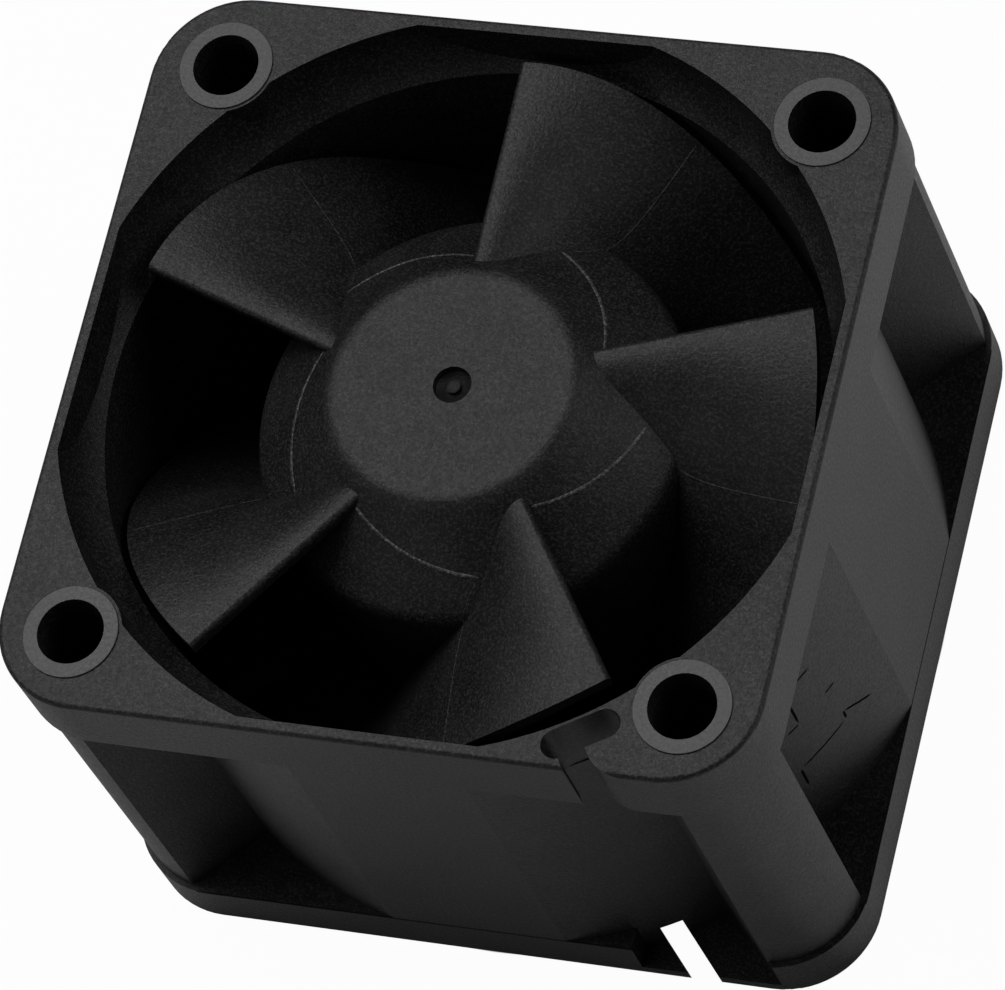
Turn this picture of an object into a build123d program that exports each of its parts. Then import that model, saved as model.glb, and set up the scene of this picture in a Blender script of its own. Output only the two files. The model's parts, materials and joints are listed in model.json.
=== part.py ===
from build123d import *
from math import cos, radians, sin, tan
import os

# A 40 mm square, 28 mm deep axial server fan: a moulded frame with a round duct, a five-bladed
# impeller on a cup-shaped rotor, and a four-tooth stator on a brass tube that holds two ball bearings.
# Millimetres. Z is the fan's axis and points out of the inlet, z = 0 is the rear face, the origin is
# the centre of the rear face.

# Frame: outside
frame_side = 40.0
frame_depth = 28.0
corner_r = 4.8
hole_pitch = 32.0
hole_d = 3.5
pad_d = 5.0  # smooth raised ring round each screw hole on the inlet side
pad_rise = 0.08
boss_d = 5.3  # wall round each screw hole, which cuts into the inlet's flare
front_flange_t = 4.4
rear_flange_t = 3.3
barrel_d = 41.1  # its sides are cut flat by the frame's own sides
rib_w = 5.0  # diagonal rib at each corner, which the screw hole runs through
lead_rib_w = 5.8  # the rib beside the lead's way out
rib_inset = 0.3  # from the frame's outside to the rib's
edge_round = 0.25

# Frame: duct
duct_d = 37.8
inlet_d = 40.7
inlet_depth = 3.5
outlet_d = 39.6
outlet_depth = 2.4
rim_t = 0.65  # thinnest rim, at the middle of each side

# Frame: lead keeper, a T-shaped slot through the front flange
keeper_angle = -58.0
keeper_reach = 21.25  # from the fan's axis to the middle of the cross-bar
keeper_bar = 4.15
keeper_bar_w = 1.55
keeper_stem_w = 1.4
keeper_stem_shift = -0.75
keeper_stem_l = 10.6  # long enough to leave the flange's side
keeper_tip_r = 2.2  # rounded end of the tongue beside the stem

# Frame: thinned floor and slanted slot where the lead leaves at the rear
exit_floor_t = 0.9
exit_start_x = 8.3
exit_reach = 3.7  # from the frame's lower side
exit_slot_w = 1.2
exit_slot_x = 11.65  # where the slot's middle line meets the lower side
exit_slot_lean = 133.0
exit_slot_run = 4.6
exit_slot_h = 2.5

# Frame: motor base and struts
base_d = 23.2
base_wall = 1.0
base_floor_t = 1.0
base_h = 4.4
base_draft = 0.3
label_d = 20.4  # bare recess where a label would go
label_depth = 0.25
boss_root_d = 9.6
tube_boss_d = 8.2
strut_count = 4
strut_w = 1.5
strut_h = 3.2
strut_sweep = 16.0  # degrees that a strut's outer end leads its inner end
strut_bow = 0.28  # share of that lead still to come at the strut's middle
strut_sink = 0.5  # how far a strut runs into the duct's wall
wire_strut_angle = -62.3
wire_strut_w = 3.4
channel_w = 1.8
channel_depth = 1.5
channel_inset = 3.2  # how far it runs in past the motor base's edge
ledge_w = 0.8
ledge_count = 3
ledge_arc = 40.0

# Impeller
tip_gap = 0.43
hub_d = 22.6
hub_top_z = 27.0
hub_skirt_z = 5.2
hub_disc_d = 12.9
hub_cone_angle = 40.0
hub_shoulder_r = 1.6
hub_disc_round = 1.2
dimple_d = 2.0
dimple_depth = 0.45
gate_d = 0.7
gate_h = 0.2
blade_count = 5
blade_phase = 92.6  # degrees, leading edge of the first blade
blade_wrap = 74.0
blade_t = 0.8
blade_lead_z = 26.2  # middle of the blade's thickness at the leading edge's outer end
blade_root_drop = 0.33  # how much lower its inner end is
blade_root_lead = 8.4  # degrees that its inner end is ahead of its outer end
blade_bend_tip = (5.0, 40.0)  # degrees behind the leading edge where the bend starts and ends
blade_bend_root = (-2.0, 36.0)
blade_fall = 0.345  # millimetres of height per degree behind the bend
blade_nose_r = 0.3
blade_overrun = 2.0  # how far its surface runs into the hub and past the tip before it is trimmed
blade_steps = 10

# Rotor inside the impeller
yoke_d = 20.4
yoke_wall = 0.7
yoke_top_z = 22.0
yoke_skirt_z = 5.6
yoke_corner_r = 1.2
magnet_wall = 1.05
magnet_bottom_z = 5.9
magnet_h = 14.4
magnet_chamfer = 0.16
bush_d = 4.8
bush_top_z = 25.9
bush_flange_d = 6.6
bush_flange_t = 0.35
bush_grooves = (0.35, 0.7)  # their places, as shares of the height above the cup
bush_groove_w = 0.5
bush_groove_depth = 0.2
shaft_d = 2.0
shaft_tail_z = 1.3
shaft_chamfer = 0.2
clip_t = 0.3
clip_d = 2.9
clip_groove_d = 1.5
clip_gap_angle = 70.0
spring_wire = 0.26
spring_turns = 2.5

# Bearings, 2 x 5 x 2.5 mm
bearing_d = 5.0
bearing_w = 2.5
ring_inner_shoulder_d = 2.9
ring_outer_shoulder_d = 4.1
ball_count = 7
ball_d = 0.8
ball_play = 0.02
cage_play = 0.11
cage_rise = 0.12
cage_back = 0.7
shield_t = 0.12
shield_inset = 0.08
shield_play = 0.1
rear_bearing_z = 2.1
tube_d = 6.2
tube_shoulder_d = 4.2
tube_bottom_z = 0.6
tube_top_z = 18.9

# Stator
air_gap = 0.45
core_bottom_z = 8.8
core_h = 9.0
tooth_count = 4
tooth_neck_w = 2.8
tooth_head_t = 1.1
tooth_head_gap = 1.0
core_hub_wall = 0.9
insulator_t = 0.5
insulator_collar_h = 1.9
insulator_lip_t = 0.7
coil_build = 1.35
coil_inset = 0.15
coil_round = 0.7

# Circuit board
board_t = 0.8
board_rest_z = 2.6
board_gap = 0.3
pin_d = 0.5
pin_turn = 33.0  # degrees from a tooth's middle
pin_tail = 0.6

# What is soldered to the board
chip_l = 3.2
chip_w = 2.6
chip_t = 0.9
chip_leg = 0.35
chip_leg_pitch = 1.05
chip_leg_count = 3
chip_reach = 7.2
chip_angle = 168.0
hall_l = 1.5
hall_w = 3.0
hall_h = 1.2
hall_side_angle = 60.0
hall_reach = 9.0
hall_angle = 45.0
chip_row_reach = 8.1
capacitor_size = (2.0, 1.25, 0.9)
capacitor_angles = (8.0, -20.0)
resistor_size = (1.6, 0.8, 0.45)
resistor_angles = (96.0, 110.0, 232.0, 246.0)
diode_size = (2.6, 1.5, 1.1)
diode_angle = 68.0
pad_t = 0.08
pad_l = 1.4
pad_w = 0.66
pad_pitch = 1.1
pad_count = 4
pad_reach = 8.4

# Assembly clearances
seat = 0.01  # pressed and moulded seats
slip = 0.15  # loose seats

half_side = frame_side / 2
rib_side = frame_side - 2 * rib_inset
lead_rib_angle = 315
front_z = frame_depth - pad_rise
front_flange_z = frame_depth - front_flange_t
duct_r = duct_d / 2
hub_r = hub_d / 2
tip_r = duct_r - tip_gap
base_r = base_d / 2
shaft_r = shaft_d / 2
front_bearing_z = tube_top_z - bearing_w
ball_pitch_r = (ring_inner_shoulder_d + ring_outer_shoulder_d) / 4
yoke_inner_r = yoke_d / 2 - yoke_wall
magnet_inner_r = yoke_inner_r - seat - magnet_wall
core_r = magnet_inner_r - air_gap
core_bore_r = tube_d / 2 + seat
core_top_z = core_bottom_z + core_h
core_middle_z = core_bottom_z + core_h / 2
neck_start_r = core_bore_r + core_hub_wall
neck_end_r = core_r - tooth_head_t
board_top_z = board_rest_z + board_t
tube_boss_top_z = core_bottom_z - insulator_collar_h
board_r = base_r - base_wall - board_gap
pin_reach = neck_end_r - insulator_t + insulator_lip_t / 2
corners = [(x, y) for x in (-hole_pitch / 2, hole_pitch / 2) for y in (-hole_pitch / 2, hole_pitch / 2)]

os.makedirs("parts", exist_ok=True)


def finish(part, name):
    """Labels a finished piece and writes it."""
    part.label = name
    export_step(part, f"parts/{name}.step")


def polar(radius, angle, z=0.0):
    """A point at a radius and an angle in degrees round the fan's axis."""
    return (radius * cos(radians(angle)), radius * sin(radians(angle)), z)


def bell_radius(flare, depth):
    """Radius of an arc that leaves the bore's wall along it and flares out by flare over depth."""
    return (flare * flare + depth * depth) / (2 * flare)


# The air path, as a body to take away from the frame: a bore with a rounded inlet and a rounded outlet,
# both clipped by the thin rims at the sides, and the inlet also by the screw columns.
with BuildPart() as air_path:
    with BuildSketch(Plane.XZ):
        with BuildLine():
            outlet_edge = (outlet_d / 2, 0)
            outlet_end = (duct_r, outlet_depth)
            inlet_start = (duct_r, frame_depth - inlet_depth)
            inlet_edge = (inlet_d / 2, frame_depth)
            Line((0, 0), outlet_edge)
            RadiusArc(outlet_edge, outlet_end, -bell_radius(outlet_d / 2 - duct_r, outlet_depth))
            Line(outlet_end, inlet_start)
            RadiusArc(inlet_start, inlet_edge, -bell_radius(inlet_d / 2 - duct_r, inlet_depth))
            Line(inlet_edge, (0, frame_depth))
            Line((0, frame_depth), (0, 0))
        make_face()
    revolve(axis=Axis.Z)
    with BuildSketch():
        Rectangle(frame_side - 2 * rim_t, frame_side - 2 * rim_t)
    extrude(amount=frame_depth, mode=Mode.INTERSECT)
    with BuildSketch():
        with Locations(*corners):
            Circle(boss_d / 2)
    extrude(amount=frame_depth, mode=Mode.SUBTRACT)


# One curved strut from the motor base to the duct's wall, as a flat shape.
def strut_line(angle, inset=base_wall / 2):
    """Middle line of a strut whose outer end lies at the given angle, from inset inside the base."""
    inner = polar(base_r - inset, angle - strut_sweep)
    middle = polar((base_r + duct_r) / 2, angle - strut_sweep * strut_bow)
    outer = polar(duct_r + strut_sink, angle)
    return ThreePointArc(inner, middle, outer)


# Corner of the tongue between the keeper's stem and the frame's lower side.
stem_edge = Vector(*polar(keeper_reach, keeper_angle)) + Vector(
    *polar(keeper_stem_shift + keeper_stem_w / 2, keeper_angle + 90)
)
tongue_tip = Vector(
    stem_edge.X - (half_side + stem_edge.Y) / tan(radians(keeper_angle)), -half_side
)

with BuildPart() as frame:
    # flanges, with softened outer edges
    for bottom, height in ((0, rear_flange_t), (front_flange_z, front_z - front_flange_z)):
        with BuildSketch(Plane.XY.offset(bottom)):
            RectangleRounded(frame_side, frame_side, corner_r)
        extrude(amount=height)
    fillet(frame.faces().sort_by(Axis.Z)[-1].edges(), edge_round)
    fillet(frame.faces().sort_by(Axis.Z)[0].edges(), edge_round)
    # barrel between the flanges, cut flat by the frame's sides
    with BuildSketch(Plane.XY.offset(rear_flange_t)):
        Circle(barrel_d / 2)
        Rectangle(frame_side, frame_side, mode=Mode.INTERSECT)
    extrude(amount=front_flange_z - rear_flange_t)
    # diagonal ribs at the corners, set in from the flanges' outside
    with BuildSketch(Plane.XY.offset(rear_flange_t)):
        for angle, width in ((45, rib_w), (135, rib_w), (225, rib_w), (lead_rib_angle, lead_rib_w)):
            with Locations(Location((0, 0), angle)):
                Rectangle(frame_side, width, align=(Align.MIN, Align.CENTER))
        RectangleRounded(rib_side, rib_side, corner_r - rib_inset, mode=Mode.INTERSECT)
    extrude(amount=front_flange_z - rear_flange_t)
    # raised rings round the screw holes
    with BuildSketch(Plane.XY.offset(front_z)):
        with Locations(*corners):
            Circle(pad_d / 2)
    extrude(amount=pad_rise)
    add(air_path.part, mode=Mode.SUBTRACT)

    # struts, clipped by the duct's wall
    strut_step = 360 / strut_count
    for number in range(strut_count):
        with BuildSketch():
            with BuildLine():
                add(strut_line(wire_strut_angle + number * strut_step))
            trace(line_width=wire_strut_w if number == 0 else strut_w)
        extrude(amount=strut_h)
    # motor base, a shallow cup that opens towards the rotor
    with BuildSketch():
        Circle(base_r)
    extrude(amount=base_h, taper=base_draft)
    with BuildSketch(Plane.XY.offset(base_floor_t)):
        Circle(base_r - base_wall)
    extrude(amount=base_h, mode=Mode.SUBTRACT)
    with BuildSketch():
        Circle(label_d / 2)
    extrude(amount=label_depth, mode=Mode.SUBTRACT)
    # ledges that the circuit board rests on
    with BuildSketch(Plane.XY.offset(base_floor_t)):
        with BuildLine():
            for number in range(ledge_count):
                middle = 90 + number * 360 / ledge_count
                CenterArc((0, 0), base_r - base_wall - ledge_w / 2, middle - ledge_arc / 2, ledge_arc)
        trace(line_width=ledge_w + 2 * seat)
    extrude(amount=board_rest_z - base_floor_t)
    # column that the bearing tube is pressed into, with a lip that stops it at the rear
    with BuildSketch(Plane.XY.offset(label_depth)):
        Circle(boss_root_d / 2)
    extrude(amount=base_floor_t - label_depth)
    with BuildSketch(Plane.XY.offset(base_floor_t)):
        Circle(tube_boss_d / 2)
    extrude(amount=tube_boss_top_z - base_floor_t)
    with Locations((0, 0, label_depth)):
        Cylinder(bearing_d / 2 + slip, frame_depth, align=(Align.CENTER, Align.CENTER, Align.MIN),
                 mode=Mode.SUBTRACT)
    with Locations((0, 0, tube_bottom_z)):
        Cylinder(tube_d / 2 + seat, frame_depth, align=(Align.CENTER, Align.CENTER, Align.MIN),
                 mode=Mode.SUBTRACT)
    # channel for the lead along the rear of the wide strut
    with BuildSketch():
        with BuildLine():
            add(strut_line(wire_strut_angle, channel_inset))
        trace(line_width=channel_w)
    extrude(amount=channel_depth, mode=Mode.SUBTRACT)
    # thinned floor of the rear flange beside the lead's corner, and the slanted slot through it
    with BuildSketch(Plane.XY.offset(exit_floor_t)):
        with Locations((exit_start_x, -half_side)):
            Rectangle(half_side - exit_start_x, exit_reach, align=(Align.MIN, Align.MIN))
        Circle(barrel_d / 2, mode=Mode.SUBTRACT)
        with Locations(Location((0, 0), lead_rib_angle)):
            Rectangle(frame_side, lead_rib_w, align=(Align.MIN, Align.CENTER), mode=Mode.SUBTRACT)
    extrude(amount=rear_flange_t - exit_floor_t, mode=Mode.SUBTRACT)
    with BuildSketch():
        with Locations(Location((exit_slot_x, -half_side), exit_slot_lean)):
            Rectangle(2 * exit_slot_run, exit_slot_w)
    extrude(amount=exit_slot_h, mode=Mode.SUBTRACT)
    # T-shaped lead keeper through the front flange
    with BuildSketch(Plane.XY.offset(front_flange_z)):
        with Locations(Location(polar(keeper_reach, keeper_angle), keeper_angle + 90)):
            SlotOverall(keeper_bar, keeper_bar_w)
            with Locations((keeper_stem_shift, 0)):
                Rectangle(keeper_stem_w, keeper_stem_l, align=(Align.CENTER, Align.MAX))
        with Locations((0, -half_side)):
            Rectangle(frame_side, frame_side, align=(Align.CENTER, Align.MAX))
        fillet(vertices().sort_by_distance(tongue_tip)[0], keeper_tip_r)
    extrude(amount=front_flange_t, mode=Mode.SUBTRACT)
    # screw holes
    with Locations(*corners):
        Hole(hole_d / 2)

finish(frame.part, "frame")


# Rotor cup, pressed from steel: its wall carries the magnet and its top is held by the bush.
def cup_outline(radius, top, bottom, corner):
    """Half section of a cup's outside, from the axis to the skirt."""
    rim = (radius, bottom)
    bend_low = (radius, top - corner)
    bend_high = (radius - corner, top)
    Line((0, bottom), rim)
    Line(rim, bend_low)
    RadiusArc(bend_low, bend_high, -corner)
    Line(bend_high, (0, top))
    Line((0, top), (0, bottom))


with BuildPart() as rotor_yoke:
    with BuildSketch(Plane.XZ):
        with BuildLine():
            cup_outline(yoke_d / 2, yoke_top_z, yoke_skirt_z, yoke_corner_r)
        make_face()
    revolve(axis=Axis.Z)
    with BuildSketch(Plane.XZ):
        with BuildLine():
            cup_outline(yoke_inner_r, yoke_top_z - yoke_wall, yoke_skirt_z, yoke_corner_r - yoke_wall)
        make_face()
    revolve(axis=Axis.Z, mode=Mode.SUBTRACT)
    with Locations((0, 0, yoke_top_z)):
        Hole(bush_d / 2 + seat)

finish(rotor_yoke.part, "rotor_yoke")


# Impeller. A blade's middle surface is ruled from a root curve to a tip curve. Both curves keep their
# height near the leading edge, bend down, and then fall evenly behind it.
def blade_fallen(turn, bend):
    """How far the blade's middle surface has fallen, turn degrees behind its phase."""
    start, end = bend
    if turn <= start:
        return 0
    if turn <= end:
        return blade_fall * (turn - start) ** 2 / (2 * (end - start))
    return blade_fall * (turn - (start + end) / 2)


def blade_curve(radius, bend, lead_z, lead):
    """The blade's middle line on a cylinder, from lead degrees before its phase to the trailing edge."""
    shares = [step / blade_steps for step in range(blade_steps + 1)]
    turns = [blade_wrap * share - lead * (1 - share) for share in shares]
    return Edge.make_spline(
        [Vector(*polar(radius, blade_phase - turn, lead_z - blade_fallen(turn, bend))) for turn in turns]
    )


blade_surface = Face.make_surface_from_curves(
    blade_curve(
        hub_disc_d / 2 - blade_overrun, blade_bend_root, blade_lead_z - blade_root_drop, blade_root_lead
    ),
    blade_curve(tip_r + blade_overrun, blade_bend_tip, blade_lead_z, 0),
)

with BuildPart() as blade:
    thicken(blade_surface, amount=blade_t / 2, both=True)
    nose = blade.faces().sort_by_distance(polar((hub_r + tip_r) / 2, blade_phase, blade_lead_z))[0]
    fillet(nose.edges().sort_by(SortBy.LENGTH)[-2:], blade_nose_r)

with BuildPart() as impeller:
    # hub: flat disc, cone and rounded shoulder down to a straight skirt
    with BuildSketch(Plane.XZ):
        with BuildLine():
            disc_edge = (hub_disc_d / 2, hub_top_z)
            cone_drop = (hub_d - hub_disc_d) / 2 * tan(radians(hub_cone_angle))
            shoulder = (hub_r, hub_top_z - cone_drop)
            Polyline((0, hub_skirt_z), (hub_r, hub_skirt_z), shoulder, disc_edge, (0, hub_top_z), close=True)
        make_face()
        fillet(vertices().filter_by(lambda v: abs(v.Z - shoulder[1]) < seat), hub_shoulder_r)
        fillet(vertices().group_by(Axis.Z)[-1].sort_by(Axis.X)[-1], hub_disc_round)
    revolve(axis=Axis.Z)
    with PolarLocations(0, blade_count):
        add(blade.part)
    # tips turned to a true cylinder
    with BuildSketch():
        Circle(tip_r)
    extrude(amount=frame_depth, mode=Mode.INTERSECT)
    # room for the steel cup and its bush
    with BuildSketch(Plane.XZ):
        with BuildLine():
            cup_outline(yoke_d / 2 + seat, yoke_top_z, 0, yoke_corner_r)
        make_face()
    revolve(axis=Axis.Z, mode=Mode.SUBTRACT)
    with Locations((0, 0, yoke_top_z)):
        Cylinder(bush_d / 2 + seat, bush_top_z - yoke_top_z, align=(Align.CENTER, Align.CENTER, Align.MIN),
                 mode=Mode.SUBTRACT)
    # dimple with the mould's gate mark at the middle of the disc
    with Locations((0, 0, hub_top_z)):
        Cylinder(dimple_d / 2, 2 * dimple_depth, mode=Mode.SUBTRACT)
    with Locations((0, 0, hub_top_z - dimple_depth)):
        Cylinder(gate_d / 2, gate_h, align=(Align.CENTER, Align.CENTER, Align.MIN))

finish(impeller.part, "impeller")

with BuildPart() as magnet_ring:
    with BuildSketch(Plane.XY.offset(magnet_bottom_z)):
        Circle(yoke_inner_r - seat)
        Circle(magnet_inner_r, mode=Mode.SUBTRACT)
    extrude(amount=magnet_h)
    chamfer(magnet_ring.edges().filter_by(GeomType.CIRCLE).group_by(Axis.Z)[0], magnet_chamfer)

finish(magnet_ring.part, "magnet_ring")

# Brass bush, pressed on the shaft, with a flange under the cup's top and grooves that the hub grips.
bush_bottom_z = yoke_top_z - yoke_wall - bush_flange_t

with BuildPart() as rotor_bush:
    with Locations((0, 0, bush_bottom_z)):
        Cylinder(bush_flange_d / 2, bush_flange_t, align=(Align.CENTER, Align.CENTER, Align.MIN))
        Cylinder(bush_d / 2, bush_top_z - bush_bottom_z, align=(Align.CENTER, Align.CENTER, Align.MIN))
    for share in bush_grooves:
        with BuildSketch(Plane.XY.offset(yoke_top_z + share * (bush_top_z - yoke_top_z))):
            Circle(bush_d / 2 + seat)
            Circle(bush_d / 2 - bush_groove_depth, mode=Mode.SUBTRACT)
        extrude(amount=bush_groove_w, mode=Mode.SUBTRACT)
    with Locations((0, 0, bush_top_z)):
        Hole(shaft_r + seat)

finish(rotor_bush.part, "rotor_bush")

clip_z = rear_bearing_z - clip_t

with BuildPart() as shaft:
    with Locations((0, 0, shaft_tail_z)):
        Cylinder(shaft_r, bush_top_z - shaft_tail_z, align=(Align.CENTER, Align.CENTER, Align.MIN))
    chamfer(shaft.edges().filter_by(GeomType.CIRCLE), shaft_chamfer)
    with BuildSketch(Plane.XY.offset(clip_z)):
        Circle(shaft_r + seat)
        Circle(clip_groove_d / 2, mode=Mode.SUBTRACT)
    extrude(amount=clip_t, mode=Mode.SUBTRACT)

finish(shaft.part, "shaft")

# Spring clip in the shaft's groove, against the rear bearing's inner ring.
with BuildPart() as shaft_clip:
    with BuildSketch(Plane.XY.offset(clip_z)):
        with BuildLine():
            clip_line_r = (clip_d + clip_groove_d) / 4 + seat / 2
            CenterArc((0, 0), clip_line_r, clip_gap_angle / 2, 360 - clip_gap_angle)
        trace(line_width=(clip_d - clip_groove_d) / 2 - seat)
    extrude(amount=clip_t)

finish(shaft_clip.part, "shaft_clip")

# Preload spring between the front bearing's inner ring and the bush.
spring_r = (shaft_d + ring_inner_shoulder_d) / 4
spring_room = bush_bottom_z - tube_top_z
spring_pitch = (spring_room - spring_wire - 2 * seat) / spring_turns
spring_bottom_z = tube_top_z + spring_wire / 2 + seat

with BuildPart() as preload_spring:
    with BuildLine():
        spring_path = Helix(
            spring_pitch, spring_pitch * spring_turns, spring_r, center=(0, 0, spring_bottom_z)
        )
    with BuildSketch(Plane(spring_path @ 0, z_dir=spring_path % 0)):
        Circle(spring_wire / 2)
    sweep(path=spring_path, is_frenet=True)

finish(preload_spring.part, "preload_spring")


# One ball bearing: two rings with a grooved track, a row of balls, a crown cage and two shields.
def track_ring(inner_r, outer_r, bottom):
    """A bearing ring with the balls' track turned into the side that faces them."""
    with BuildPart() as ring:
        with BuildSketch(Plane.XY.offset(bottom)):
            Circle(outer_r)
            Circle(inner_r, mode=Mode.SUBTRACT)
        extrude(amount=bearing_w)
        with BuildSketch(Plane.XZ):
            with Locations((ball_pitch_r, bottom + bearing_w / 2)):
                Circle(ball_d / 2 + ball_play)
        revolve(axis=Axis.Z, mode=Mode.SUBTRACT)
    return ring.part


def ball_row(middle):
    """The row of balls, as separate solids."""
    with BuildPart() as row:
        with Locations((0, 0, middle)):
            with PolarLocations(ball_pitch_r, ball_count):
                Sphere(ball_d / 2)
    return row.part


def crown_cage(middle):
    """A ring behind the balls with a round pocket for each."""
    with BuildPart() as cage:
        with BuildSketch(Plane.XY.offset(middle - cage_back)):
            Circle(ring_outer_shoulder_d / 2 - cage_play)
            Circle(ring_inner_shoulder_d / 2 + cage_play, mode=Mode.SUBTRACT)
        extrude(amount=cage_back + cage_rise)
        with Locations((0, 0, middle)):
            with PolarLocations(ball_pitch_r, ball_count):
                Sphere(ball_d / 2 + ball_play, mode=Mode.SUBTRACT)
    return cage.part


def shield_pair(bottom):
    """The two thin shields, fixed in the outer ring and clear of the inner one."""
    with BuildPart() as pair:
        for height in (bottom + shield_inset, bottom + bearing_w - shield_inset - shield_t):
            with BuildSketch(Plane.XY.offset(height)):
                Circle(ring_outer_shoulder_d / 2 - seat)
                Circle(ring_inner_shoulder_d / 2 + shield_play, mode=Mode.SUBTRACT)
            extrude(amount=shield_t)
    return pair.part


for place, bottom in (("front", front_bearing_z), ("rear", rear_bearing_z)):
    middle = bottom + bearing_w / 2
    outer_ring = track_ring(ring_outer_shoulder_d / 2, bearing_d / 2 - seat, bottom)
    finish(outer_ring, f"{place}_bearing_outer_ring")
    inner_ring = track_ring(shaft_r + seat, ring_inner_shoulder_d / 2, bottom)
    finish(inner_ring, f"{place}_bearing_inner_ring")
    finish(ball_row(middle), f"{place}_bearing_balls")
    finish(crown_cage(middle), f"{place}_bearing_cage")
    finish(shield_pair(bottom), f"{place}_bearing_shields")

# Brass tube that holds both bearings, with a shoulder between them.
with BuildPart() as bearing_tube:
    with BuildSketch(Plane.XY.offset(tube_bottom_z)):
        Circle(tube_d / 2)
        Circle(bearing_d / 2, mode=Mode.SUBTRACT)
    extrude(amount=tube_top_z - tube_bottom_z)
    with BuildSketch(Plane.XY.offset(rear_bearing_z + bearing_w)):
        Circle(tube_d / 2)
        Circle(tube_shoulder_d / 2, mode=Mode.SUBTRACT)
    extrude(amount=front_bearing_z - rear_bearing_z - bearing_w)

finish(bearing_tube.part, "bearing_tube")


# Stator: a laminated core with four teeth, covered by two moulded insulators that carry the coils.
def tooth_heads(inner_r, outer_r, gap):
    """Arc-shaped heads at the teeth's outer ends, with a straight gap between neighbours."""
    Circle(outer_r)
    Circle(inner_r, mode=Mode.SUBTRACT)
    with PolarLocations(outer_r, tooth_count, start_angle=180 / tooth_count):
        Rectangle(2 * outer_r - 2 * neck_start_r, gap, mode=Mode.SUBTRACT)


with BuildPart() as stator_core:
    with BuildSketch(Plane.XY.offset(core_bottom_z)):
        tooth_heads(neck_end_r, core_r, tooth_head_gap)
        Circle(neck_start_r)
        with PolarLocations((neck_start_r + neck_end_r) / 2, tooth_count):
            Rectangle(neck_end_r - neck_start_r + tooth_head_t, tooth_neck_w)
        Circle(core_bore_r, mode=Mode.SUBTRACT)
    extrude(amount=core_h)

finish(stator_core.part, "stator_core")

coil_start_r = neck_start_r + coil_inset + insulator_t
coil_end_r = neck_end_r - insulator_t - coil_inset
neck_outer_w = tooth_neck_w + 2 * insulator_t


def insulator(face_z, direction):
    """One moulded half: collar round the tube, plates over the teeth, sleeves round the necks, lips."""
    reach = abs(core_middle_z - face_z)
    base = Plane((0, 0, face_z), z_dir=(0, 0, direction))
    with BuildPart() as half:
        with BuildSketch(base):
            Circle(neck_start_r + insulator_t)
            Circle(core_bore_r, mode=Mode.SUBTRACT)
        extrude(amount=insulator_collar_h)
        with BuildSketch(base):
            tooth_heads(neck_end_r - insulator_t, core_r - insulator_lip_t / 2, tooth_head_gap)
            with PolarLocations((neck_start_r + neck_end_r) / 2, tooth_count):
                Rectangle(neck_end_r - neck_start_r, neck_outer_w)
            Circle(core_bore_r, mode=Mode.SUBTRACT)
        extrude(amount=insulator_t)
        with BuildSketch(base):
            tooth_heads(neck_end_r - insulator_t, neck_end_r - insulator_t + insulator_lip_t, tooth_head_gap)
        extrude(amount=insulator_collar_h)
        # sleeves that run down both sides of each neck to the middle of the core
        with BuildSketch(base):
            with PolarLocations((neck_start_r + neck_end_r) / 2, tooth_count):
                Rectangle(neck_end_r - neck_start_r - 2 * insulator_t, neck_outer_w)
                Rectangle(neck_end_r - neck_start_r, tooth_neck_w + 2 * seat, mode=Mode.SUBTRACT)
        extrude(amount=-reach + seat)
    return half.part


finish(insulator(core_top_z, 1), "upper_insulator")
finish(insulator(core_bottom_z, -1), "lower_insulator")

# Copper coils, one wound round each tooth's sleeve.
coil_window_h = core_h + 2 * insulator_t
coil_middle_r = (coil_start_r + coil_end_r) / 2

for number in range(tooth_count):
    angle = number * 360 / tooth_count
    coil_plane = Plane(polar(coil_middle_r, angle, core_middle_z), x_dir=(0, 0, 1), z_dir=polar(1, angle))
    with BuildPart() as winding:
        with BuildSketch(coil_plane.offset(-(coil_end_r - coil_start_r) / 2)):
            RectangleRounded(coil_window_h + 2 * coil_build, neck_outer_w + 2 * coil_build,
                             coil_round + coil_build / 2)
            Rectangle(coil_window_h + 2 * seat, neck_outer_w + 2 * seat, mode=Mode.SUBTRACT)
        extrude(amount=coil_end_r - coil_start_r)
        with BuildSketch():
            Circle(coil_end_r)
        extrude(amount=frame_depth, mode=Mode.INTERSECT)
    finish(winding.part, f"winding_{number + 1}")

# Circuit board and what is soldered to it.
with BuildPart() as circuit_board:
    with BuildSketch(Plane.XY.offset(board_rest_z)):
        Circle(board_r)
        Circle(tube_boss_d / 2 + slip, mode=Mode.SUBTRACT)
        with PolarLocations(pin_reach, tooth_count, start_angle=pin_turn):
            Circle(pin_d / 2 + seat, mode=Mode.SUBTRACT)
    extrude(amount=board_t)

finish(circuit_board.part, "circuit_board")

# Pins from the lower insulator's lips through the board, one beside each coil.
with BuildPart() as terminal_pins:
    with BuildSketch(Plane.XY.offset(board_rest_z - pin_tail)):
        with PolarLocations(pin_reach, tooth_count, start_angle=pin_turn):
            Circle(pin_d / 2)
    extrude(amount=core_bottom_z - insulator_collar_h - board_rest_z + pin_tail)

finish(terminal_pins.part, "terminal_pins")


def board_spot(radius, angle, height):
    """A place on the circuit board, turned so that its first direction points away from the axis."""
    return Location(polar(radius, angle, height), angle)


# Driver chip under the board: a moulded body with three legs on each side.
with BuildPart() as driver_chip:
    with Locations(board_spot(chip_reach, chip_angle, board_rest_z - chip_t)):
        Box(chip_l, chip_w, chip_t, align=(Align.CENTER, Align.CENTER, Align.MIN))
        with GridLocations(chip_leg_pitch, chip_w + chip_leg, chip_leg_count, 2):
            with Locations((0, 0, chip_t - chip_leg)):
                Box(chip_leg, chip_leg, chip_leg, align=(Align.CENTER, Align.CENTER, Align.MIN))

finish(driver_chip.part, "driver_chip")

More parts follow.
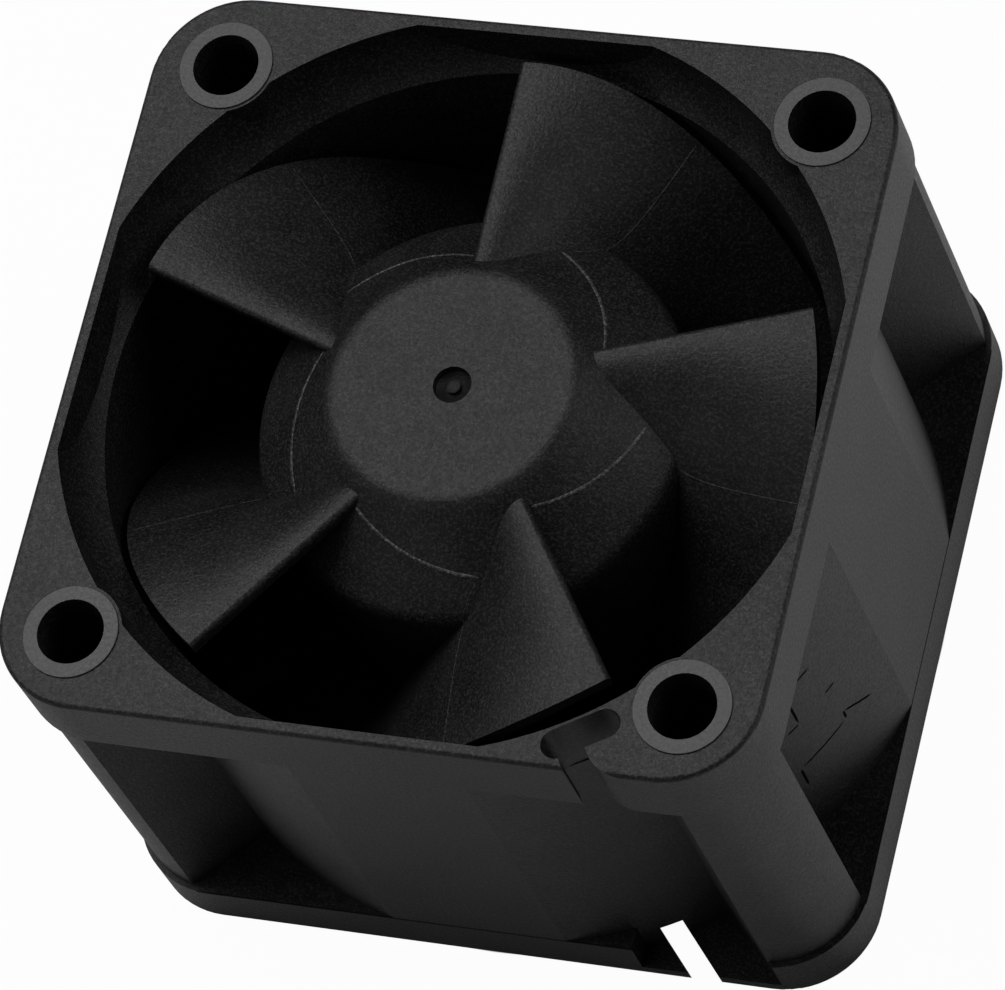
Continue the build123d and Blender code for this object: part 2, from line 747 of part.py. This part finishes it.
# Hall sensor standing on the board under the magnet's edge.
with BuildPart() as hall_sensor:
    with BuildSketch(Plane(board_spot(hall_reach, hall_angle, board_top_z))):
        Trapezoid(hall_w, hall_l, hall_side_angle)
    extrude(amount=hall_h)

finish(hall_sensor.part, "hall_sensor")


def chip_parts(size, spots):
    """Chip components of one size, hung under the board."""
    length, width, height = size
    with BuildPart() as chips:
        for radius, angle in spots:
            with Locations(board_spot(radius, angle, board_rest_z - height)):
                Box(width, length, height, align=(Align.CENTER, Align.CENTER, Align.MIN))
    return chips.part


finish(chip_parts(capacitor_size, [(chip_row_reach, angle) for angle in capacitor_angles]), "capacitors")
finish(chip_parts(resistor_size, [(chip_row_reach, angle) for angle in resistor_angles]), "resistors")
finish(chip_parts(diode_size, [(chip_row_reach, diode_angle)]), "diode")

# Tinned pads for the lead's wires, above the channel.
with BuildPart() as lead_pads:
    with Locations(board_spot(pad_reach, wire_strut_angle - strut_sweep, board_rest_z - pad_t)):
        with GridLocations(0, pad_pitch, 1, pad_count):
            Box(pad_l, pad_w, pad_t, align=(Align.CENTER, Align.CENTER, Align.MIN))

finish(lead_pads.part, "lead_pads")
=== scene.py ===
import bpy
import json
import math
import numpy as np
from mathutils import Matrix, Vector
from mathutils.bvhtree import BVHTree


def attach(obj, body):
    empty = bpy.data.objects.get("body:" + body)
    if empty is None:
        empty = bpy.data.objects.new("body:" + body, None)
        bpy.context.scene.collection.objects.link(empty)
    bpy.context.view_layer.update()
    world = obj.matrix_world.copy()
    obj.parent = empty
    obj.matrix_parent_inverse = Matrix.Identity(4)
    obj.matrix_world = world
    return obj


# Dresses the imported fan: finishes for every part, the fine seams and marks that its moulds leave, a
# pale floor, soft light and the camera of the photograph. Blender's lengths are metres, in the fan's
# own frame. Lengths here are in millimetres unless a comment says otherwise.

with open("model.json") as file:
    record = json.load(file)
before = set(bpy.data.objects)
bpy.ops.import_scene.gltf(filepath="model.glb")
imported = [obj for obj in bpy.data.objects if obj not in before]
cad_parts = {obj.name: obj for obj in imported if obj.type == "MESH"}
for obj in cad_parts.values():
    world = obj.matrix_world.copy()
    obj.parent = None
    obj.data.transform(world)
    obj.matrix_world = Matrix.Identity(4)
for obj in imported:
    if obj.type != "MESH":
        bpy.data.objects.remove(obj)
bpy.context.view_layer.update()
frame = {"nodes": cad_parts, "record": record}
scene = bpy.context.scene
scene.view_settings.view_transform = "Standard"

MM = 0.001
FAN_HEIGHT = 28.0
FRAME_HALF = 20.0
REAR_FLANGE = 3.3  # its thickness
HOLE_PITCH = 32.0
PAD_EDGE = (2.46, 2.52)  # from and to these radii the smooth pad round a hole ends
HUB_TOP = 27.0
DISC_R = 6.45  # flat disc on the hub
DISC_BAND = 1.2  # how far below the hub's top the disc's finish reaches
DIMPLE_R = 1.0
BLADES = 5
BLADE_PHASE = 92.6  # degrees, first blade's leading edge


# Camera
# Fitted to the photograph: focal length in pixels of a 1005 x 990 picture, and the turn and shift
# that take a point of the fan to the lens.
FOCAL_PX = 7276.5
PICTURE_W = 1005
SENSOR_W = 36
TURN = Vector((-0.4148, 0.2976, 0.1755))
SHIFT = Vector((4.177, 5.8409, 386.6605))
FLIP = Matrix.Diagonal((1, -1, -1))  # takes a lens that looks along its z to Blender's, which doesn't

turn = Matrix.Rotation(TURN.length, 3, TURN.normalized())
from_lens = (turn @ FLIP).transposed()
eye = -(from_lens @ SHIFT) * MM
camera_data = bpy.data.cameras.new("camera")
camera_data.sensor_width = SENSOR_W
camera_data.lens = FOCAL_PX * SENSOR_W / PICTURE_W
camera_data.clip_start = 0.01
camera_data.clip_end = 10
camera = bpy.data.objects.new("camera", camera_data)
camera.matrix_world = Matrix.Translation(eye) @ (from_lens @ FLIP).to_4x4()
scene.collection.objects.link(camera)
scene.camera = camera


# Materials
PLASTIC_LEVEL = 0.016  # its colour's dark and pale ends are multiples of this
PLASTIC_GLOSS = 0.36
FIBRES = 6.5  # in a millimetre, as are the next three
CLOUDS = 0.3
GRAIN = 5.5
PITS = 8.0
GRAIN_DEPTH = 0.045
SHADE_LINE_HALF = 0.13  # half the width of the painted shade line above the rear flange
# colour of the painted shade line above the rear flange
SHADE_LINE_LEVEL = 0.001
EDGE_SOFT = 0.5  # how far the disc's edge is softened, to each side
EDGE_SLOPE = 0.36  # how far it leans at the edge itself
DISH_DEPTH = 0.5  # from the dimple's middle to its rim


class Nodes:
    """A material's node tree with short calls for the nodes used here."""

    def __init__(self, name):
        self.material = bpy.data.materials.new(name)
        self.material.use_nodes = True
        self.tree = self.material.node_tree
        self.shader = self.tree.nodes["Principled BSDF"]
        self.place = self.tree.nodes.new("ShaderNodeTexCoord").outputs["Object"]

    def put(self, socket, value):
        """Sets a socket to a value, or links it to another socket."""
        if isinstance(value, bpy.types.NodeSocket):
            self.tree.links.new(value, socket)
        else:
            socket.default_value = value

    def noise(self, per_mm, detail=3.0, roughness=0.6, stretch=None):
        """Noise with about per_mm bumps in a millimetre, optionally stretched along some axes."""
        node = self.tree.nodes.new("ShaderNodeTexNoise")
        node.inputs["Scale"].default_value = per_mm / MM
        node.inputs["Detail"].default_value = detail
        node.inputs["Roughness"].default_value = roughness
        place = self.place
        if stretch:
            mapping = self.tree.nodes.new("ShaderNodeMapping")
            mapping.inputs["Scale"].default_value = stretch
            self.put(mapping.inputs["Vector"], place)
            place = mapping.outputs["Vector"]
        self.put(node.inputs["Vector"], place)
        return node.outputs["Fac"]

    def cells(self, per_mm, smooth=True):
        """Distance to the nearest of scattered points, about per_mm of them in a millimetre."""
        node = self.tree.nodes.new("ShaderNodeTexVoronoi")
        node.feature = "SMOOTH_F1" if smooth else "F1"
        node.inputs["Scale"].default_value = per_mm / MM
        self.put(node.inputs["Vector"], self.place)
        return node.outputs["Distance"]

    def math(self, operation, a, b=0.0, c=0.0, clamp=False):
        """One Math node."""
        node = self.tree.nodes.new("ShaderNodeMath")
        node.operation = operation
        node.use_clamp = clamp
        for socket, value in zip(node.inputs, (a, b, c)):
            self.put(socket, value)
        return node.outputs[0]

    def span(self, value, low, high, to_low=0.0, to_high=1.0):
        """Takes low..high smoothly to to_low..to_high, and holds it outside."""
        node = self.tree.nodes.new("ShaderNodeMapRange")
        node.interpolation_type = "SMOOTHSTEP"
        for socket, number in zip(node.inputs, (value, low, high, to_low, to_high)):
            self.put(socket, number)
        return node.outputs[0]

    def mix(self, share, a, b):
        """Colour a where share is 0 and b where it is 1."""
        node = self.tree.nodes.new("ShaderNodeMix")
        node.data_type = "RGBA"
        self.put(node.inputs["Factor"], share)
        for socket, value in ((node.inputs[6], a), (node.inputs[7], b)):
            self.put(socket, value)
        return node.outputs[2]

    def axes(self):
        """The three object coordinates, in metres."""
        node = self.tree.nodes.new("ShaderNodeSeparateXYZ")
        self.put(node.inputs[0], self.place)
        return node.outputs

    def radius(self, a, b):
        """Distance from the middle for two coordinates."""
        return self.math("SQRT", self.math("ADD", self.math("MULTIPLY", a, a), self.math("MULTIPLY", b, b)))

    def bump(self, height, depth_mm, under=None):
        """Bumps of the given depth in millimetres where height runs from 0 to 1."""
        node = self.tree.nodes.new("ShaderNodeBump")
        node.inputs["Strength"].default_value = 1.0
        node.inputs["Distance"].default_value = depth_mm * MM
        self.put(node.inputs["Height"], height)
        if under is not None:
            self.put(node.inputs["Normal"], under)
        self.put(self.shader.inputs["Normal"], node.outputs["Normal"])
        return node.outputs["Normal"]

    def done(self, colour, roughness, metallic=0.0, specular=0.5):
        """Sets the shader's main sockets and gives the material."""
        self.put(self.shader.inputs["Base Color"], colour)
        self.put(self.shader.inputs["Roughness"], roughness)
        self.shader.inputs["Metallic"].default_value = metallic
        self.shader.inputs["Specular IOR Level"].default_value = specular
        return self.material


def grey(level):
    """An opaque colour of one level."""
    return (level, level, level, 1.0)


def black_plastic(name, level, rings=False, hub=False):
    """Glass-filled black plastic: a fine sparkle of fibres under a spark-eroded, matt grain.

    rings adds the smoother circles round the screw holes, whose paler colour is a painted sheen, and a
    painted shade line above the rear flange.
    hub adds the soft edge of the rotor's disc and the hollow of its dimple, with painted shade in the
    hollow.
    """
    n = Nodes(name)
    fibres = n.noise(FIBRES, detail=2.0, roughness=0.8)
    cloud = n.noise(CLOUDS, detail=3.0)
    grain = n.noise(GRAIN, detail=3.0, roughness=0.75)
    pits = n.cells(PITS)
    fleck = n.span(fibres, 0.46, 0.66)
    tone = n.math("ADD", n.span(cloud, 0.3, 0.7, 0.0, 0.2), n.math("MULTIPLY", fleck, 0.8), clamp=True)
    colour = n.mix(tone, grey(level * 0.4), grey(level * 3.0))
    rough = n.span(grain, 0.3, 0.7, 0.35, 0.5)
    height = n.math("ADD", n.math("MULTIPLY", grain, 0.8), n.math("MULTIPLY", pits, 0.25))
    x, y, z = n.axes()
    form = None
    if rings:
        # smooth pads round the screw holes: their lower roughness and finer grain are real, their paler
        # colour is a painted sheen
        off = [n.math("SUBTRACT", n.math("ABSOLUTE", axis), HOLE_PITCH / 2 * MM) for axis in (x, y)]
        near = n.span(n.radius(*off), PAD_EDGE[0] * MM, PAD_EDGE[1] * MM, 1.0, 0.0)
        high = n.span(z, (FAN_HEIGHT - 0.07) * MM, (FAN_HEIGHT - 0.03) * MM)
        pad_and_sheen = n.math("MULTIPLY", near, high)
        colour = n.mix(pad_and_sheen, colour, n.mix(tone, grey(level * 3.6), grey(level * 5.0)))
        height = n.math("MULTIPLY", height, n.math("SUBTRACT", 1.0, n.math("MULTIPLY", pad_and_sheen, 0.8)))
        rough = n.math("SUBTRACT", rough, n.math("MULTIPLY", pad_and_sheen, 0.06))
        # painted shade: a near-black line where the barrel's flat sides stand on the rear flange, for the
        # shade of the step there, with a shallow groove in the bump
        side = n.math("MAXIMUM", n.math("ABSOLUTE", x), n.math("ABSOLUTE", y))
        flat = n.math("GREATER_THAN", side, (FRAME_HALF - 0.05) * MM)
        away = n.math("ABSOLUTE", n.math("SUBTRACT", z, REAR_FLANGE * MM))
        line = n.math("MULTIPLY", flat, n.span(away, 0.02 * MM, SHADE_LINE_HALF * MM, 1.0, 0.0))
        colour = n.mix(line, colour, grey(SHADE_LINE_LEVEL))
        rough = n.math("ADD", rough, n.math("MULTIPLY", line, 0.45), clamp=True)
        form = n.math("MULTIPLY", line, -SHADE_LINE_HALF * 0.8)
    if hub:
        reach = n.radius(x, y)
        top = n.math("GREATER_THAN", z, (HUB_TOP - DISC_BAND) * MM)
        # fall of the disc towards its edge, and of the cone towards the same edge
        inner = n.math("MAXIMUM", n.math("SUBTRACT", reach, (DISC_R - EDGE_SOFT) * MM), 0.0)
        inner = n.math("MINIMUM", n.math("DIVIDE", inner, EDGE_SOFT * MM), 1.0)
        outer = n.math("MAXIMUM", n.math("SUBTRACT", reach, DISC_R * MM), 0.0)
        outer = n.math("MINIMUM", n.math("DIVIDE", outer, EDGE_SOFT * MM), 1.0)
        left = n.math("SUBTRACT", 1.0, outer)
        fall = n.math("ADD", n.math("MULTIPLY", inner, inner), n.math("MULTIPLY", left, left))
        edge = n.math("MULTIPLY", n.math("MULTIPLY", fall, top), -EDGE_SOFT * EDGE_SLOPE / 2)
        # the dimple's floor is a dish, rising as the square of the radius; its colour, darker than the
        # disc, is painted shade in the hollow
        dish_and_shade = n.math("MULTIPLY", n.span(reach, DIMPLE_R * 0.97 * MM, DIMPLE_R * MM, 1.0, 0.0), top)
        share = n.math("DIVIDE", reach, DIMPLE_R * MM)
        hollow = n.math("MULTIPLY", n.math("MULTIPLY", share, share), n.math("MULTIPLY", dish_and_shade, DISH_DEPTH))
        form = n.math("ADD", edge, hollow)
        colour = n.mix(dish_and_shade, colour, grey(level * 0.5))
        rough = n.math("ADD", rough, n.math("MULTIPLY", dish_and_shade, 0.1), clamp=True)
    under = None if form is None else n.bump(form, 1.0)
    n.bump(height, GRAIN_DEPTH, under)
    return n.done(colour, rough, specular=PLASTIC_GLOSS)


def dull_plastic(name, level):
    """Painted shade: black plastic for a line in its own shade, which gloss doesn't reach."""
    n = Nodes(name)
    share = n.noise(6.0)
    return n.done(n.mix(share, grey(level * 0.6), grey(level)), 0.9, specular=0.03)


def plain_plastic(name, colour, roughness=0.5, depth=0.01):
    """A small moulded part: slight cloudiness and a fine grain."""
    n = Nodes(name)
    share = n.noise(0.8, detail=3.0)
    pale = tuple(min(1.0, c * 1.18) for c in colour[:3]) + (1.0,)
    dark = tuple(c * 0.84 for c in colour[:3]) + (1.0,)
    n.bump(n.noise(6.0), depth)
    return n.done(n.mix(share, dark, pale), n.span(share, 0.3, 0.7, roughness - 0.06, roughness + 0.08))


def metal(name, colour, roughness, lines=None, depth=0.003):
    """Bare metal with fine marks, drawn out along the way it was turned, rolled or pressed."""
    n = Nodes(name)
    marks = n.noise(3.0, detail=4.0, roughness=0.7, stretch=lines)
    cloud = n.noise(0.5, detail=2.0)
    dark = tuple(c * 0.8 for c in colour[:3]) + (1.0,)
    n.bump(marks, depth)
    rough = n.span(marks, 0.25, 0.75, roughness * 0.75, roughness * 1.3)
    return n.done(n.mix(cloud, dark, colour), rough, metallic=1.0)


def wound_copper(name):
    """Enamelled wire laid side by side: fine bands, with painted shade as a darker line between turns."""
    n = Nodes(name)
    wave = n.tree.nodes.new("ShaderNodeTexWave")
    wave.wave_type = "BANDS"
    wave.bands_direction = "DIAGONAL"
    wave.wave_profile = "SIN"
    wave.inputs["Scale"].default_value = 1.1 / MM
    wave.inputs["Distortion"].default_value = 0.6
    n.put(wave.inputs["Vector"], n.place)
    turns = wave.outputs["Fac"]
    n.bump(turns, 0.05)
    # the dark end of the bands is painted shade in the creases between turns
    colour = n.mix(turns, (0.2, 0.06, 0.02, 1), (0.72, 0.3, 0.13, 1))
    return n.done(colour, n.span(turns, 0, 1, 0.4, 0.22), metallic=0.85)


def board_face(name):
    """Green solder mask over copper traces: the traces show as slightly paler, raised bands."""
    n = Nodes(name)
    traces = n.span(n.cells(0.45, smooth=False), 0.3, 0.36)
    weave = n.noise(3.0, detail=2.0)
    n.bump(n.math("ADD", traces, n.math("MULTIPLY", weave, 0.15)), 0.03)
    colour = n.mix(traces, (0.012, 0.11, 0.04, 1), (0.03, 0.2, 0.075, 1))
    return n.done(colour, n.span(weave, 0.3, 0.7, 0.22, 0.34))


finishes = {
    "frame_plastic": black_plastic("frame_black_plastic", PLASTIC_LEVEL, rings=True),
    "impeller_plastic": black_plastic("impeller_black_plastic", PLASTIC_LEVEL, hub=True),
    "pressed_steel": metal("zinc_plated_steel", (0.56, 0.57, 0.58, 1), 0.34),
    "bearing_steel": metal("ground_bearing_steel", (0.62, 0.62, 0.63, 1), 0.16, lines=(1, 1, 6)),
    "electrical_steel": metal("laminated_steel", (0.3, 0.31, 0.33, 1), 0.45, lines=(0.2, 0.2, 1.5),
                              depth=0.02),
    "brass": metal("turned_brass", (0.72, 0.52, 0.2, 1), 0.24, lines=(0.3, 0.3, 4)),
    "ferrite": plain_plastic("bonded_magnet", (0.05, 0.05, 0.055), 0.6),
    "copper_wire": wound_copper("copper_winding"),
    "insulator_plastic": plain_plastic("ivory_insulator", (0.72, 0.69, 0.6)),
    "cage_plastic": plain_plastic("cage_plastic", (0.5, 0.42, 0.28)),
    "board": board_face("green_circuit_board"),
    "chip_plastic": plain_plastic("chip_moulding", (0.02, 0.02, 0.022), 0.55),
    "chip_ceramic": plain_plastic("capacitor_ceramic", (0.36, 0.25, 0.14), 0.5),
    "tin": metal("tinned_copper", (0.72, 0.71, 0.68, 1), 0.28),
}
for entry in frame["record"]["subparts"]:
    finish = finishes[entry["material_slot"]]
    node = frame["nodes"][entry["node"]]
    for place in node.material_slots:
        place.material = finish
    if not node.material_slots:
        node.data.materials.append(finish)


# Marks left by the mould
BEAD_SINK = 0.02  # how far a bead's foot lies under the surface
BEAD_SIDES = 6
BEAD_FADE = 3  # points at each end over which a bead thins out
SKY_HEIGHT = 40  # spots are dropped on the impeller from here
RIM_REACH = 30  # and thrown at the barrel from this far from the axis


def skin(node):
    """A search tree over a CAD node's surface, in the fan's frame."""
    mesh = frame["nodes"][node].data
    points = [v.co.copy() for v in mesh.vertices]
    faces = [tuple(f.vertices) for f in mesh.polygons]
    return BVHTree.FromPolygons(points, faces)


def drop(tree, start, way):
    """Where a ray from start along way meets a surface, and the surface's outward normal there, in mm."""
    hit, normal, _, _ = tree.ray_cast(Vector(start) * MM, Vector(way))
    if hit is None:
        return None
    if normal.dot(Vector(way)) > 0:
        normal = -normal
    return hit / MM, normal


def bead(spots, width, rise):
    """A low, round-topped bead along a line on a surface, closed at both ends.

    spots are (point, normal) pairs. At an angle a from 0 to pi its section lies (width / 2) cos a to the
    side of the line and rise sin a - BEAD_SINK above the surface. Width and rise fade out at its ends.
    """
    points = np.array([tuple(point) for point, _ in spots])
    normals = np.array([tuple(normal) for _, normal in spots])
    along = np.gradient(points, axis=0)
    along /= np.linalg.norm(along, axis=1, keepdims=True)
    side = np.cross(along, normals)
    side /= np.linalg.norm(side, axis=1, keepdims=True)
    up = np.cross(side, along)
    count = len(points)
    place = np.arange(count)
    fade = np.sqrt(np.clip(np.minimum(place, place[::-1]) / BEAD_FADE, 0.15, 1))[:, None, None]
    angle = np.linspace(0, np.pi, BEAD_SIDES)[None, :, None]
    rows = points[:, None, :] + side[:, None, :] * np.cos(angle) * fade * width / 2
    rows = rows + up[:, None, :] * (np.sin(angle) * fade * rise - BEAD_SINK)
    i, j = np.meshgrid(np.arange(count - 1) * BEAD_SIDES, np.arange(BEAD_SIDES), indexing="ij")
    k = (j + 1) % BEAD_SIDES
    strips = np.stack([i + j, i + BEAD_SIDES + j, i + BEAD_SIDES + k, i + k], axis=-1).reshape(-1, 4)
    last = count * BEAD_SIDES
    ends = [list(range(BEAD_SIDES)), list(range(last - 1, last - BEAD_SIDES - 1, -1))]
    return rows.reshape(-1, 3), strips.tolist() + ends


def piece(name, beads, material, body):
    """One object made of several beads."""
    starts = np.cumsum([0] + [len(rows) for rows, _ in beads])
    points = np.concatenate([rows for rows, _ in beads]) * MM
    faces = [[int(start) + i for i in face] for start, (_, local) in zip(starts, beads) for face in local]
    mesh = bpy.data.meshes.new(name)
    mesh.from_pydata(points.tolist(), [], faces)
    mesh.update()
    mesh.polygons.foreach_set("use_smooth", [len(face) == 4 for face in faces])
    mesh.materials.append(material)
    obj = bpy.data.objects.new(name, mesh)
    scene.collection.objects.link(obj)
    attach(obj, body)


def turned(radius, angle):
    """x and y of a point at a radius and an angle in degrees."""
    return radius * math.cos(math.radians(angle)), radius * math.sin(math.radians(angle))


def from_above(tree, radii, angles):
    """Spots on a surface straight below points given by radius and angle."""
    places = [(*turned(radius, angle), SKY_HEIGHT) for radius, angle in zip(radii, angles)]
    spots = [drop(tree, place, (0, 0, -1)) for place in places]
    return [spot for spot in spots if spot]


# A seam starts beside each blade's root and winds outwards round the hub to the next blade, where it
# turns out to the tip.
SEAM_START_R = 7.55
SEAM_GAIN = 0.0395  # millimetres outwards for each degree round
SEAM_TURNS = (4.0, 51.5)  # degrees round from the blade's leading edge
SEAM_BACK = 29.5  # degrees behind the next blade's leading edge where it runs out to the tip
SEAM_BEND = 1.1  # millimetres in which it swings over to there
SEAM_END_R = 18.3
HUB_SEAM = (0.22, 0.055)  # width and rise
BLADE_SEAM = (0.1, 0.035)

# the seams' plastic is a paler copy of the black plastic: a painted highlight along their ridges
seam_highlight_plastic = black_plastic("seam_highlight_plastic", PLASTIC_LEVEL * 4.5)
pale_blade_seam_highlight = black_plastic("faint_seam_plastic", PLASTIC_LEVEL * 1.7)
impeller_skin = skin("impeller")
hub_seams, blade_seams = [], []
for number in range(BLADES):
    phase = BLADE_PHASE + number * 360 / BLADES
    turns = np.linspace(*SEAM_TURNS, 70)
    radii = SEAM_START_R + SEAM_GAIN * turns
    hub_seams.append(bead(from_above(impeller_skin, radii, phase + turns), *HUB_SEAM))
    radii = np.linspace(radii[-1], SEAM_END_R, 80)
    share = 1 - np.exp(-(radii - radii[0]) / SEAM_BEND)
    start, end = phase + SEAM_TURNS[1], phase + 360 / BLADES - SEAM_BACK
    blade_seams.append(bead(from_above(impeller_skin, radii, start + (end - start) * share), *BLADE_SEAM))
piece("hub_mould_seams", hub_seams, seam_highlight_plastic, "rotor")
piece("blade_mould_seams", blade_seams, pale_blade_seam_highlight, "rotor")


# Two block arrows on the barrel show which way the air and the rotor go. The sides of each that lie in
# their own shade carry painted shade, a near-black plastic, and the lit ones hardly show.
BARREL_R = 20.55
ARROW_LENGTH = 5.6
ARROW_NECK = 3.55  # from the tail's end to the head
TAIL_HALF = 1.0
HEAD_HALF = 1.85
# Each arrow: its tail's angle in degrees and height, its direction as (round the barrel, up), and
# the numbers of its dark sides.
AIR_ARROW = (-28.4, 17.4, (0, -1), (1, 4, 5, 6))
ROTOR_ARROW = (-34.15, 8.9, (1, 0), (0, 1, 2, 6))
SHADED_EDGE = (0.19, 0.04)  # width and rise
LIT_EDGE = (0.1, 0.03)
# colour of the painted shade on the arrows' shaded sides
ARROW_SHADE_LEVEL = 0.004


def arrow(tree, angle, height, way):
    """Spots for each side of a block arrow on the barrel, whose tail's end is at angle and height.

    A corner (a, b) lies a along the arrow and b to its left, and way is the arrow's direction as
    (round the barrel, up). The seven sides run from the tail's left side, by the tip, to its end.
    """
    half = [(0, TAIL_HALF), (ARROW_NECK, TAIL_HALF), (ARROW_NECK, HEAD_HALF), (ARROW_LENGTH, 0)]
    corners = np.array(half + [(a, -b) for a, b in half[-2::-1]] + [(0, TAIL_HALF)])
    sides = []
    for first, last in zip(corners[:-1], corners[1:]):
        a, b = (first + (last - first) * np.linspace(0, 1, 16)[:, None]).T
        angles = angle + np.degrees((a * way[0] - b * way[1]) / BARREL_R)
        heights = height + a * way[1] + b * way[0]
        spots = []
        for turn_angle, z in zip(angles, heights):
            x, y = turned(1, turn_angle)
            spots.append(drop(tree, (x * RIM_REACH, y * RIM_REACH, z), (-x, -y, 0)))
        sides.append(spots)
    return sides


frame_skin = skin("frame")
shaded, lit = [], []
for angle, height, way, dark in (AIR_ARROW, ROTOR_ARROW):
    for number, spots in enumerate(arrow(frame_skin, angle, height, way)):
        if number in dark:
            shaded.append(bead(spots, *SHADED_EDGE))
        else:
            lit.append(bead(spots, *LIT_EDGE))
piece("arrow_shaded_edges", shaded, dull_plastic("arrow_painted_shade", ARROW_SHADE_LEVEL), "housing")
piece("arrow_lit_edges", lit, finishes["frame_plastic"], "housing")


# Floor and light
FLOOR_HALF = 1.5  # metres
DUCT_SHADE_R = 19.9  # the floor within this radius is below the duct
SLOT_FLOOR_X, SLOT_FLOOR_Y = 7.5, 16.3  # the floor beyond these is seen through the slanted slot
SLOT_FADE = 0.3
FLOOR_SEEN = 0.97  # share of white in what the lens sees of the floor; the rest keeps the shadow
RIGHT_GLOSS = (19.0, 21.0, 0.33)  # from and to these x, gloss shows this share of white
LOW_GLOSS = (28.0, 40.0, 0.05)  # the same for the side below, with its distance from the axis
WORLD_LEVEL = 0.03


def pale_floor():
    """Pale floor, dark below the duct, where the fan shades it.

    Seen straight or through glass it is nearly white outside the duct. In gloss it is paler to
    the fan's right, where the light falls, than on the side below, where the fan's shadow lies.
    """
    n = Nodes("pale_floor")
    tree = n.tree
    x, y, _ = n.axes()
    beside = n.math("MULTIPLY", n.span(y, -(SLOT_FLOOR_Y + SLOT_FADE) * MM, -SLOT_FLOOR_Y * MM, 1.0, 0.0),
                    n.span(x, SLOT_FLOOR_X * MM, (SLOT_FLOOR_X + SLOT_FADE) * MM))
    outside = n.math("MAXIMUM", n.span(n.radius(x, y), DUCT_SHADE_R * MM, FRAME_HALF * MM), beside)
    n.done(n.mix(outside, grey(0.03), grey(0.85)), 0.8)
    rays = tree.nodes.new("ShaderNodeLightPath")
    seen = n.math("MAXIMUM", rays.outputs["Is Camera Ray"], rays.outputs["Is Transmission Ray"])
    seen = n.math("MULTIPLY", n.math("MULTIPLY", seen, outside), FLOOR_SEEN)
    start, end, share = RIGHT_GLOSS
    right = n.span(x, start * MM, end * MM, 0.0, share)
    start, end, share = LOW_GLOSS
    low = n.span(n.math("MULTIPLY", y, -1.0), start * MM, end * MM, 0.0, share)
    gloss = n.math("MULTIPLY", n.math("MAXIMUM", right, low), rays.outputs["Is Glossy Ray"])
    glow = tree.nodes.new("ShaderNodeEmission")
    mixer = tree.nodes.new("ShaderNodeMixShader")
    n.put(mixer.inputs[0], n.math("MAXIMUM", seen, gloss))
    n.put(mixer.inputs[1], n.shader.outputs[0])
    n.put(mixer.inputs[2], glow.outputs[0])
    n.put(tree.nodes["Material Output"].inputs["Surface"], mixer.outputs[0])
    return n.material


floor_mesh = bpy.data.meshes.new("floor")
floor_mesh.from_pydata([(-FLOOR_HALF, -FLOOR_HALF, 0), (FLOOR_HALF, -FLOOR_HALF, 0),
                        (FLOOR_HALF, FLOOR_HALF, 0), (-FLOOR_HALF, FLOOR_HALF, 0)], [], [(0, 1, 2, 3)])
floor_mesh.materials.append(pale_floor())
floor = bpy.data.objects.new("floor", floor_mesh)
scene.collection.objects.link(floor)

world = bpy.data.worlds.new("soft_grey")
world.use_nodes = True
scene.world = world
tree = world.node_tree
sky = tree.nodes["Background"]
sky.inputs["Color"].default_value = (1, 1, 1, 1)
sky.inputs["Strength"].default_value = WORLD_LEVEL
rays = tree.nodes.new("ShaderNodeLightPath")
seen = tree.nodes.new("ShaderNodeMath")
seen.operation = "MAXIMUM"
tree.links.new(rays.outputs["Is Camera Ray"], seen.inputs[0])
tree.links.new(rays.outputs["Is Transmission Ray"], seen.inputs[1])
backdrop = tree.nodes.new("ShaderNodeBackground")
mixer = tree.nodes.new("ShaderNodeMixShader")
tree.links.new(seen.outputs[0], mixer.inputs[0])
tree.links.new(sky.outputs[0], mixer.inputs[1])
tree.links.new(backdrop.outputs[0], mixer.inputs[2])
tree.links.new(mixer.outputs[0], tree.nodes["World Output"].inputs["Surface"])


LAMP_REACH = 0.6  # from the fan's middle to each lamp, metres
LAMP_SIZE = 0.35  # metres
# Each lamp's azimuth and elevation in degrees, seen from the fan, and its power in watts. The high light
# lies where the fan's face mirrors it to the lens.
LAMPS = {
    "high_light": (130, 62, 1.03),
    "left_high_light": (175, 68, 0.3),
    "left_back_light": (160, 48, 0.18),
    "right_light": (20, 35, 0.48),
    "edge_light": (22, 17, 0.1),
    "left_light": (180, 35, 0.12),
    "rear_left_light": (240, 30, 0.18),
}
middle = Vector((0, 0, FAN_HEIGHT / 2)) * MM
for name, (azimuth, elevation, power) in LAMPS.items():
    level, rise = turned(1, elevation)
    way = Vector((*turned(level, azimuth), rise))
    data = bpy.data.lights.new(name, "AREA")
    data.size = LAMP_SIZE
    data.energy = power
    lamp = bpy.data.objects.new(name, data)
    lamp.location = middle + way * LAMP_REACH
    lamp.rotation_mode = "QUATERNION"
    lamp.rotation_quaternion = (-way).to_track_quat("-Z", "Y")
    scene.collection.objects.link(lamp)
